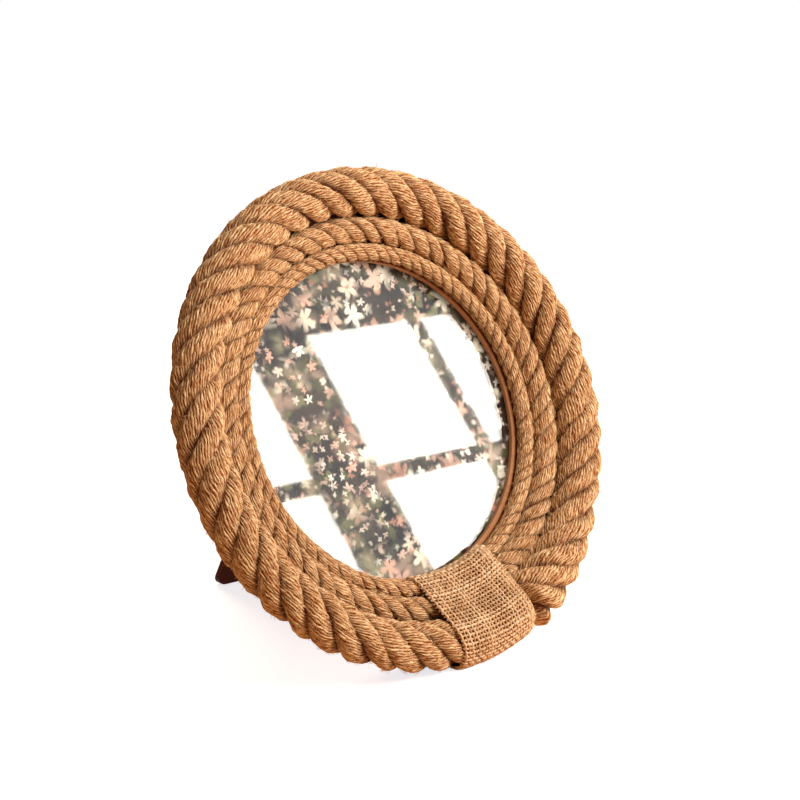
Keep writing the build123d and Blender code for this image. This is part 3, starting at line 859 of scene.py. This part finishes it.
def wandering(tree, noise):
    """How far a hand-spun thread strays from a straight line."""
    place = add(tree, "GeometryNodeInputPosition")
    place = add(tree, "ShaderNodeVectorMath", [place, (WANDER_PER_MM,) * 3], operation="MULTIPLY")
    stray = {"Vector": place, "W": noise, "Scale": 1, "Detail": 3}
    stray = add(tree, "ShaderNodeTexNoise", stray, noise_dimensions="4D").outputs["Color"]
    stray = add(tree, "ShaderNodeVectorMath", [stray, NOISE_CENTRE], operation="SUBTRACT")
    return add(tree, "ShaderNodeVectorMath", [stray, THREAD_WANDER], operation="MULTIPLY")


tree = weave_tree
half_pitch = add(tree, "ShaderNodeMath", [size["Pitch"], 0.5], operation="MULTIPLY")
first = add(tree, "ShaderNodeMath", [size["Left"], half_pitch], operation="ADD")
right = add(tree, "ShaderNodeMath", [size["Left"], size["Width"]], operation="ADD")
warp = ({"X": first}, "X", size["Width"], {}, {"Y": size["Length"]})
weft = ({"Y": half_pitch}, "Y", size["Length"], {"X": size["Left"]}, {"X": right})
threads = add(tree, "GeometryNodeJoinGeometry")
for laid_out, upwards, noise in ((warp, 1, 3), (weft, -1, 9)):
    rows = thread_rows(tree, size, *laid_out)
    over = add(tree, "ShaderNodeCombineXYZ", {"Z": over_and_under(tree, size, upwards)})
    wave = add(tree, "ShaderNodeVectorMath", [wandering(tree, noise), over], operation="ADD")
    rows = add(tree, "GeometryNodeSetPosition", {"Geometry": rows, "Offset": wave})
    own = add(tree, "GeometryNodeInputIndex")
    own = add(tree, "FunctionNodeRandomValue", {"ID": own, "Seed": size["Seed"]})
    rows = {"Geometry": rows, "Name": "tone", "Value": own}
    rows = add(tree, "GeometryNodeStoreNamedAttribute", rows, data_type="FLOAT", domain="CURVE")
    tree.links.new(rows.outputs[0], threads.inputs[0])
print("weave so far", len(tree.nodes), "nodes")

# %% Weave: uneven threads, pulled over the ropes
SLUB_PER_MM = 0.35
THREAD_SIDES = 6

slub = add(tree, "GeometryNodeInputPosition")
slub = add(tree, "ShaderNodeTexNoise", {"Vector": slub, "Scale": SLUB_PER_MM, "Detail": 2})
slub = {"Value": slub, "From Min": 0.3, "From Max": 0.7, "To Min": 0.72, "To Max": 1.2}
slub = add(tree, "ShaderNodeMapRange", slub)
own = add(tree, "GeometryNodeInputNamedAttribute", {"Name": "tone"}, data_type="FLOAT")
own = add(tree, "ShaderNodeMapRange", {"Value": own, "To Min": 0.82, "To Max": 1.18})
slub = add(tree, "ShaderNodeMath", [slub, own], operation="MULTIPLY")
profile = {"Resolution": THREAD_SIDES, "Radius": size["Thread radius"]}
profile = add(tree, "GeometryNodeCurvePrimitiveCircle", profile)
cloth = {"Curve": threads, "Profile Curve": profile, "Scale": slub, "Fill Caps": True}
cloth = add(tree, "GeometryNodeCurveToMesh", cloth)
tight_curve = add(tree, "GeometryNodeMeshToCurve", [size["Geometry"]])
cloth = pulled_over(tree, cloth, tight_curve)
cloth = add(tree, "GeometryNodeSetShadeSmooth", [cloth])
finish_tree(tree, cloth, size["Material"])

# %% Burlap material
SPUN_FIBRE, TONE_PATCH = 0.4, 9.0  # mm; single fibres are finer, too fine to show
FIBRE_SHARE, THREAD_SHARE, PATCH_SHARE = 0.5, 0.25, 0.3  # how far each changes the colour


def burlap(name, dark, pale):
    """Thread-thick jute cloth, uneven in tone from thread to thread."""
    material, tree = new_material(name)
    place = drawing_millimetres(tree)
    fibre = {"Vector": place, "Scale": 1 / SPUN_FIBRE, "Detail": 3, "Roughness": 0.65}
    fibre = add(tree, "ShaderNodeTexNoise", fibre)
    patch = add(tree, "ShaderNodeTexNoise", {"Vector": place, "Scale": 1 / TONE_PATCH, "Detail": 2})
    tone = add(tree, "ShaderNodeAttribute", attribute_name="tone").outputs["Fac"]
    shade = add(tree, "ShaderNodeMath", [fibre, FIBRE_SHARE], operation="MULTIPLY")
    shade = add(tree, "ShaderNodeMath", [tone, THREAD_SHARE, shade], operation="MULTIPLY_ADD")
    shade = add(tree, "ShaderNodeMath", [patch, PATCH_SHARE, shade], operation="MULTIPLY_ADD")
    shade = add(tree, "ShaderNodeMapRange", {"Value": shade, "From Min": 0.25, "From Max": 0.8})
    colour = add(tree, "ShaderNodeMix", [shade, linear(dark), linear(pale)], data_type="RGBA")
    bump = add(tree, "ShaderNodeBump", {"Height": fibre, "Strength": 0.6, "Distance": 0.15 * MM})
    look = {"Base Color": colour, "Normal": bump, "Roughness": 0.82, "Specular IOR Level": 0.2}
    look |= {"Sheen Weight": 0.2, "Sheen Roughness": 0.5, "Sheen Tint": STRAW_SHEEN}
    add(tree, "ShaderNodeOutputMaterial", [add(tree, "ShaderNodeBsdfPrincipled", look)])
    return material


# Coarse woven jute: dry pale threads, and the folded layer under them painted dark brown as the shade in
# the gaps
thread_burlap = burlap("Burlap thread", "#A36D3C", "#F7DAB5")
burlap_fold_shade = burlap("Burlap fold painted as shade", "#5C2F0C", "#8A5422")
print("materials", thread_burlap.name, "and", burlap_fold_shade.name)

# %% Weave and lay the cloth
THREADS_ACROSS, THREAD_RADIUS, THREAD_WAVE = 24, 0.46, 0.28
THREAD_PITCH = 2 * WRAP_HALF / THREADS_ACROSS
LAST_THREAD = 0.01  # mm more, so that rounding doesn't lose the last thread
HEM_WIDTH, HEM_PITCH = 4.5, 0.9 * THREAD_PITCH
CLOTH_LIFT, HEM_LIFT = 0.65, 0.35

weave = {
    "Left": -WRAP_HALF, "Width": 2 * WRAP_HALF + LAST_THREAD, "Length": cloth_length,
    "Pitch": THREAD_PITCH, "Lift": CLOTH_LIFT, "Thread radius": THREAD_RADIUS, "Wave": THREAD_WAVE,
    "Seed": 4, "Material": thread_burlap,
}
hem = weave | {
    "Left": WRAP_HALF - HEM_WIDTH, "Width": HEM_WIDTH, "Pitch": HEM_PITCH, "Lift": HEM_LIFT, "Seed": 5,
}
burlap_threads = pressed_on_table(grown("burlap_threads", weave_tree, weave, drawn=tight_line.copy()))
burlap_hem = pressed_on_table(grown("burlap_hem", weave_tree, hem, drawn=tight_line.copy()))
print("threads", len(burlap_threads.data.polygons), "and hem", len(burlap_hem.data.polygons), "faces")

# %% [markdown]
# Burlap: the folded layer
#
# Through the gaps of the weave the layer that is folded under shows, and its dark brown colour is
# painted shade. A plain sheet on the same tight line is enough for it, with a real thickness from
# a Solidify modifier.

# %% Lining and the whole strip
LINING_COLUMNS, LINING_ROWS = 48, 160
SIDE_GAP, LINING_THICKNESS = 0.3, 0.25

lining_sizes = {"Geometry": "Geometry", "Width": "Float", "Length": "Float", "Material": "Material"}
lining_tree, size = new_tree("Burlap lining", lining_sizes)
tree = lining_tree
tight_curve = add(tree, "GeometryNodeMeshToCurve", [size["Geometry"]])
lining = [size["Width"], size["Length"], LINING_COLUMNS, LINING_ROWS]
lining = add(tree, "GeometryNodeMeshGrid", lining)
forward = add(tree, "ShaderNodeMath", [size["Length"], 0.5], operation="MULTIPLY")
forward = add(tree, "ShaderNodeCombineXYZ", {"Y": forward})
lining = add(tree, "GeometryNodeSetPosition", {"Geometry": lining, "Offset": forward})
lining = pulled_over(tree, lining, tight_curve)
lining = add(tree, "GeometryNodeSetShadeSmooth", [lining])
finish_tree(tree, lining, size["Material"])
sizes = {"Width": 2 * (WRAP_HALF - SIDE_GAP), "Length": cloth_length, "Material": burlap_fold_shade}
burlap_cloth = pressed_on_table(grown("burlap_cloth", lining_tree, sizes, drawn=tight_line.copy()))
thick = burlap_cloth.modifiers.new("Cloth thickness", "SOLIDIFY")
thick.thickness, thick.offset = LINING_THICKNESS * MM, 0

for piece in (burlap_cloth, burlap_threads, burlap_hem):
    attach(piece, "frame")
    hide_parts("burlap_wrap")
print("lining", len(burlap_cloth.data.polygons), "faces")

# %% [markdown]
# Glass
#
# The pane is two millimetres of clear float glass with its sharp edge ground off. The CAD disc
# touches the print, and two surfaces in the same place confuse a ray tracer, so a disc with a
# ground edge that stops a hair short of the print stands in for it. Light on its way to the print
# passes straight through, which keeps the print as bright as it would be.

# %% Glass pane
PANE_RADIUS, PANE_FRONT, PANE_BACK, GROUND_EDGE = 67.687, -2.02, -3.95, 0.3

loops = [
    circle_of(PANE_RADIUS - GROUND_EDGE, PANE_FRONT),
    circle_of(PANE_RADIUS, PANE_FRONT - GROUND_EDGE),
    circle_of(PANE_RADIUS, PANE_BACK + GROUND_EDGE),
    circle_of(PANE_RADIUS - GROUND_EDGE, PANE_BACK),
]
glass_disc = skinned("glass_disc", loops, closed=False)

# Float glass: flat as a mirror, so the window in it is sharp, and a breath of green in the clear
float_glass, tree = new_material("Clear float glass")
rays = add(tree, "ShaderNodeLightPath").outputs
clear = add(tree, "ShaderNodeBsdfTransparent")
look = {"Base Color": linear("#F4FAF7"), "Roughness": 0.021, "IOR": 1.52, "Transmission Weight": 1.0}
glass = add(tree, "ShaderNodeBsdfPrincipled", look)
lamps_pass = add(tree, "ShaderNodeMixShader", [rays["Is Shadow Ray"], glass, clear])
add(tree, "ShaderNodeOutputMaterial", [lamps_pass])
glass_disc.data.materials.append(float_glass)
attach(glass_disc, "frame")
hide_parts("glass_pane")
print("glass", len(glass_disc.data.polygons), "faces")

# %% [markdown]
# Print
#
# Behind the glass is a sheet of matt photo paper. It carries a plain pattern of blossoms and leaves
# on a dark ground, partly out of focus, drawn by the material itself: each cell of a Voronoi
# texture becomes one flower or leaf, with its own turn, size and colour, and a slow distortion
# keeps any two from being alike.

# %% One layer of blossoms
SCATTER = 0.85  # 0 for flowers in rows, 1 for any place in their cells
WAIST = 0.25  # a flower's reach between two petals, as a share of its reach
SMALLEST = 0.35  # share of the largest


def blossoms(tree, place, spacing, petals, reach, blur, seed):
    """Flowers scattered one to a cell: how much each covers, and its own random number."""
    moved = (seed * 31.0, seed * 17.0, 0.0)
    moved = add(tree, "ShaderNodeVectorMath", [place, moved], operation="ADD")
    cell = {"Vector": moved, "Scale": 1 / spacing, "Randomness": SCATTER}
    cell = add(tree, "ShaderNodeTexVoronoi", cell, voronoi_dimensions="2D").outputs
    luck = add(tree, "ShaderNodeSeparateColor", [cell["Color"]]).outputs
    off = add(tree, "ShaderNodeVectorMath", [moved, cell["Position"]], operation="SUBTRACT")
    x, y, _ = add(tree, "ShaderNodeSeparateXYZ", [off]).outputs
    turn = add(tree, "ShaderNodeMath", [y, x], operation="ARCTAN2")
    turn = add(tree, "ShaderNodeMath", [luck["Red"], tau, turn], operation="MULTIPLY_ADD")
    turn = add(tree, "ShaderNodeMath", [turn, petals / 2], operation="MULTIPLY")
    lobe = add(tree, "ShaderNodeMath", [turn], operation="COSINE")
    lobe = add(tree, "ShaderNodeMath", [lobe], operation="ABSOLUTE")
    lobe = add(tree, "ShaderNodeMapRange", {"Value": lobe, "To Min": WAIST * reach, "To Max": reach})
    own_size = add(tree, "ShaderNodeMapRange", {"Value": luck["Green"], "To Min": SMALLEST, "To Max": 1.0})
    away = add(tree, "ShaderNodeCombineXYZ", [x, y])
    away = add(tree, "ShaderNodeVectorMath", [away], operation="LENGTH")
    inwards = add(tree, "ShaderNodeMath", [away, -1.0], operation="MULTIPLY")
    inwards = add(tree, "ShaderNodeMath", [lobe, own_size, inwards], operation="MULTIPLY_ADD")
    cover = {"Value": inwards, "From Min": -blur, "From Max": blur}
    cover = add(tree, "ShaderNodeMapRange", cover, interpolation_type="SMOOTHSTEP")
    return cover, luck["Blue"]


print("smallest flower, as a share of the largest", SMALLEST)

# %% Print material
WARP_SIZE, WARP_REACH = 5.0, 4.0  # mm
CLOUD_SIZE, DRIFT_SIZE = 30.0, 24.0  # mm; the dark ground's clouds, and where a layer is thick or thin
# spacing, petals, reach and blur in mm, seed, share that shows, and two colours to choose between
LAYERS = [
    (17.0, 3, 9.0, 3.2, 1, 0.5, "#A39A78", "#C09A88"),
    (7.0, 2, 4.4, 0.8, 2, 0.8, "#33331F", "#7A7452"),
    (11.0, 5, 6.2, 1.2, 3, 0.9, "#EBDFCC", "#C08572"),
    (6.0, 5, 2.7, 0.45, 4, 0.9, "#F0E6DA", "#CC8F7C"),
    (4.2, 4, 1.5, 0.35, 5, 0.75, "#E4D2C2", "#9E5C49"),
]

# Coated paper with printed ink: soft even colour with hardly any shine, all of it behind the glass
photo_paper, tree = new_material("Matt photo paper")
place = drawing_millimetres(tree)
warp = {"Vector": place, "Scale": 1 / WARP_SIZE, "Detail": 2}
warp = add(tree, "ShaderNodeTexNoise", warp).outputs["Color"]
warp = add(tree, "ShaderNodeVectorMath", [warp, NOISE_CENTRE], operation="SUBTRACT")
warp = add(tree, "ShaderNodeVectorMath", [warp, (WARP_REACH, WARP_REACH, 0.0)], operation="MULTIPLY")
warped = add(tree, "ShaderNodeVectorMath", [place, warp], operation="ADD")
ground = {"Vector": place, "Scale": 1 / CLOUD_SIZE, "Detail": 3, "Roughness": 0.55}
ground = add(tree, "ShaderNodeTexNoise", ground)
ground = add(tree, "ShaderNodeMapRange", {"Value": ground, "From Min": 0.35, "From Max": 0.65})
picture = add(tree, "ShaderNodeMix", [ground, linear("#181315"), linear("#483A34")], data_type="RGBA")
for spacing, petals, reach, blur, seed, share, one, other in LAYERS:
    cover, own = blossoms(tree, warped, spacing, petals, reach, blur, seed)
    drift = (seed * 53.0, 0.0, seed * 9.0)
    drift = add(tree, "ShaderNodeVectorMath", [place, drift], operation="ADD")
    drift = add(tree, "ShaderNodeTexNoise", {"Vector": drift, "Scale": 1 / DRIFT_SIZE, "Detail": 2})
    drift = {"Value": drift, "From Min": 0.42, "From Max": 0.54, "To Max": share}
    drift = add(tree, "ShaderNodeMapRange", drift)
    cover = add(tree, "ShaderNodeMath", [cover, drift], operation="MULTIPLY")
    petal = add(tree, "ShaderNodeMix", [own, linear(one), linear(other)], data_type="RGBA")
    picture = add(tree, "ShaderNodeMix", [cover, picture, petal], data_type="RGBA")
look = {"Base Color": picture, "Roughness": 0.9, "Specular IOR Level": 0.1}
add(tree, "ShaderNodeOutputMaterial", [add(tree, "ShaderNodeBsdfPrincipled", look)])
print("print", len(tree.nodes), "nodes")

# %% [markdown]
# Boards and leg
#
# The ring is cut from medium density fibreboard, whose pressed wood flour gives a smooth tan lip
# with tiny specks. The back board is hardboard, browner and harder pressed. The leg is a strip of
# softwood stained almost black-brown, with the grain along it. The card behind the print is plain
# grey pulp. All but the ring keep their CAD shapes, and each gets its own surface. The three
# boards are all pressed fibres, so one function with a few sizes and colours makes them.

# %% Pressed boards
PATCH_SIZE, PATCHINESS = 16.0, 0.4  # mm, and how far slow patches take over from specks
ROPE_SHADE_COLOUR, ROPE_SHADE_EDGE, ROPE_SHADE_DEPTH = "#6B3512", 0.3, -0.5  # painted shade beside the ropes, on the front face only, in mm
NO_ROPE_SHADE = 1000.0  # mm, past the edge of any board


def pressed_board(name, dark, pale, grit, roughness, rope_shade_from=NO_ROPE_SHADE):
    """Board of pressed fibres: fine specks over slow patches, and painted shade from a radius on."""
    material, tree = new_material(name)
    place = drawing_millimetres(tree)
    speck = {"Vector": place, "Scale": 1 / grit, "Detail": 4, "Roughness": 0.7}
    speck = add(tree, "ShaderNodeTexNoise", speck)
    patch = add(tree, "ShaderNodeTexNoise", {"Vector": place, "Scale": 1 / PATCH_SIZE, "Detail": 2})
    shade = add(tree, "ShaderNodeMix", [PATCHINESS, speck, patch])
    shade = add(tree, "ShaderNodeMapRange", {"Value": shade, "From Min": 0.35, "From Max": 0.65})
    colour = add(tree, "ShaderNodeMix", [shade, linear(dark), linear(pale)], data_type="RGBA")
    x, y, z = add(tree, "ShaderNodeSeparateXYZ", [place]).outputs
    radius = add(tree, "ShaderNodeCombineXYZ", [x, y])
    radius = add(tree, "ShaderNodeVectorMath", [radius], operation="LENGTH")
    # Painted shade: darker from a radius on, where the thin rope shades the board's front face
    rope_shade = {"Value": radius, "From Min": rope_shade_from, "From Max": rope_shade_from + ROPE_SHADE_EDGE}
    rope_shade = add(tree, "ShaderNodeMapRange", rope_shade)
    front = add(tree, "ShaderNodeMath", [z, ROPE_SHADE_DEPTH], operation="GREATER_THAN")
    rope_shade = add(tree, "ShaderNodeMath", [rope_shade, front], operation="MULTIPLY")
    colour = add(tree, "ShaderNodeMix", [rope_shade, colour, linear(ROPE_SHADE_COLOUR)], data_type="RGBA")
    bump = add(tree, "ShaderNodeBump", {"Height": speck, "Strength": 0.25, "Distance": 0.1 * MM})
    worn = {"Value": speck, "To Min": roughness - 0.1, "To Max": roughness + 0.1}
    worn = add(tree, "ShaderNodeMapRange", worn)
    look = {"Base Color": colour, "Normal": bump, "Roughness": worn, "Specular IOR Level": 0.3}
    add(tree, "ShaderNodeOutputMaterial", [add(tree, "ShaderNodeBsdfPrincipled", look)])
    return material


# Pressed wood flour: even tan with fine specks, and a dark line of painted shade beside the ropes
fibreboard = pressed_board("Medium density fibreboard", "#A36C45", "#CB9870", 0.8, 0.6, rope_shade_from=64.2)
# Harder pressed wood fibre: darker, and smoother to the eye
hardboard = pressed_board("Brown hardboard", "#4E3220", "#74503A", 0.7, 0.5)
# Recycled pulp: flat grey with coarse specks and no shine
grey_card = pressed_board("Grey pulp card", "#84807A", "#A39E96", 0.9, 0.85)
print("boards", fibreboard.name, hardboard.name, grey_card.name, sep=", ")

# %% Leg material
LEG_SLOPE = radians(-63)  # the open leg's run, in the Y-Z plane
GRAIN_WIDTH, GRAIN_LENGTH = 0.9, 28  # mm

# Stained softwood: almost black, with the grain just showing and a low shine on it
stained_wood, tree = new_material("Dark stained softwood")
place = add(tree, "ShaderNodeTexCoord").outputs["Object"]
grain_size = (GRAIN_WIDTH * MM, GRAIN_LENGTH * MM, GRAIN_WIDTH * MM)
along_leg = {"Vector": place, "Rotation": (LEG_SLOPE, 0, 0), "Scale": grain_size}
along_leg = add(tree, "ShaderNodeMapping", along_leg, vector_type="TEXTURE")
grain = {"Vector": along_leg, "Scale": 1, "Detail": 4, "Distortion": 0.4}
grain = add(tree, "ShaderNodeTexNoise", grain)
shade = add(tree, "ShaderNodeMapRange", {"Value": grain, "From Min": 0.3, "From Max": 0.7})
colour = add(tree, "ShaderNodeMix", [shade, linear("#2C0E04"), linear("#62290F")], data_type="RGBA")
bump = add(tree, "ShaderNodeBump", {"Height": grain, "Strength": 0.3, "Distance": 0.15 * MM})
sheen = add(tree, "ShaderNodeMapRange", {"Value": grain, "To Min": 0.35, "To Max": 0.6})
look = {"Base Color": colour, "Normal": bump, "Roughness": sheen, "Specular IOR Level": 0.03}
add(tree, "ShaderNodeOutputMaterial", [add(tree, "ShaderNodeBsdfPrincipled", look)])
print("leg", stained_wood.name)

# %% [markdown]
# Hinge, buttons and screws
#
# The hinge is stamped from thin brass sheet and the turn buttons from zinc-plated steel. Both
# were tumbled after stamping, so they are softly scratched rather than polished: small changes
# in roughness do more for that than colour does.

# %% Metal materials
SCRATCH_SIZE, SPOT_SIZE = (0.25, 3.0, 3.0), 2.5  # mm; real scratches are finer, too fine to show


def tumbled_metal(name, dark, pale, smooth, rough):
    """Stamped and tumbled sheet metal with fine scratches and dull spots."""
    material, tree = new_material(name)
    place = drawing_millimetres(tree)
    stretched = {"Vector": place, "Scale": SCRATCH_SIZE}
    stretched = add(tree, "ShaderNodeMapping", stretched, vector_type="TEXTURE")
    scratch = {"Vector": stretched, "Scale": 1, "Detail": 5, "Roughness": 0.7}
    scratch = add(tree, "ShaderNodeTexNoise", scratch)
    spot = add(tree, "ShaderNodeTexNoise", {"Vector": place, "Scale": 1 / SPOT_SIZE, "Detail": 3})
    colour = add(tree, "ShaderNodeMix", [spot, linear(dark), linear(pale)], data_type="RGBA")
    worn = add(tree, "ShaderNodeMix", [0.5, scratch, spot])
    worn = {"Value": worn, "From Min": 0.3, "From Max": 0.7, "To Min": smooth, "To Max": rough}
    worn = add(tree, "ShaderNodeMapRange", worn)
    bump = add(tree, "ShaderNodeBump", {"Height": scratch, "Strength": 0.12, "Distance": 0.05 * MM})
    look = {"Base Color": colour, "Metallic": 1.0, "Roughness": worn, "Normal": bump}
    add(tree, "ShaderNodeOutputMaterial", [add(tree, "ShaderNodeBsdfPrincipled", look)])
    return material


# Tumbled brass sheet: warm yellow with blurred reflections
brass = tumbled_metal("Stamped brass", "#A27B34", "#D9B468", 0.22, 0.45)
# Zinc plate on steel: cool grey, a little duller
zinc_steel = tumbled_metal("Zinc-plated steel", "#9A9DA0", "#D2D5D8", 0.25, 0.5)
print("metals", brass.name, "and", zinc_steel.name)

# %% Give each piece its material
BUTTONS = 4

cut_ring.data.materials.append(fibreboard)
finishes = {
    photo_paper: ["photo_print"],
    grey_card: ["backing_card"],
    hardboard: ["back_board"],
    stained_wood: ["easel_leg"],
    brass: ["hinge_board_leaf", "hinge_leg_leaf", "hinge_pin", "hinge_board_rivets", "hinge_leg_rivets"],
    zinc_steel: ["turn_button_screws"] + [f"turn_button_{i + 1}" for i in range(BUTTONS)],
}
for material, names in finishes.items():
    for name in names:
        nodes[name].data.materials.clear()
        nodes[name].data.materials.append(material)
    print(material.name, "on", ", ".join(names))
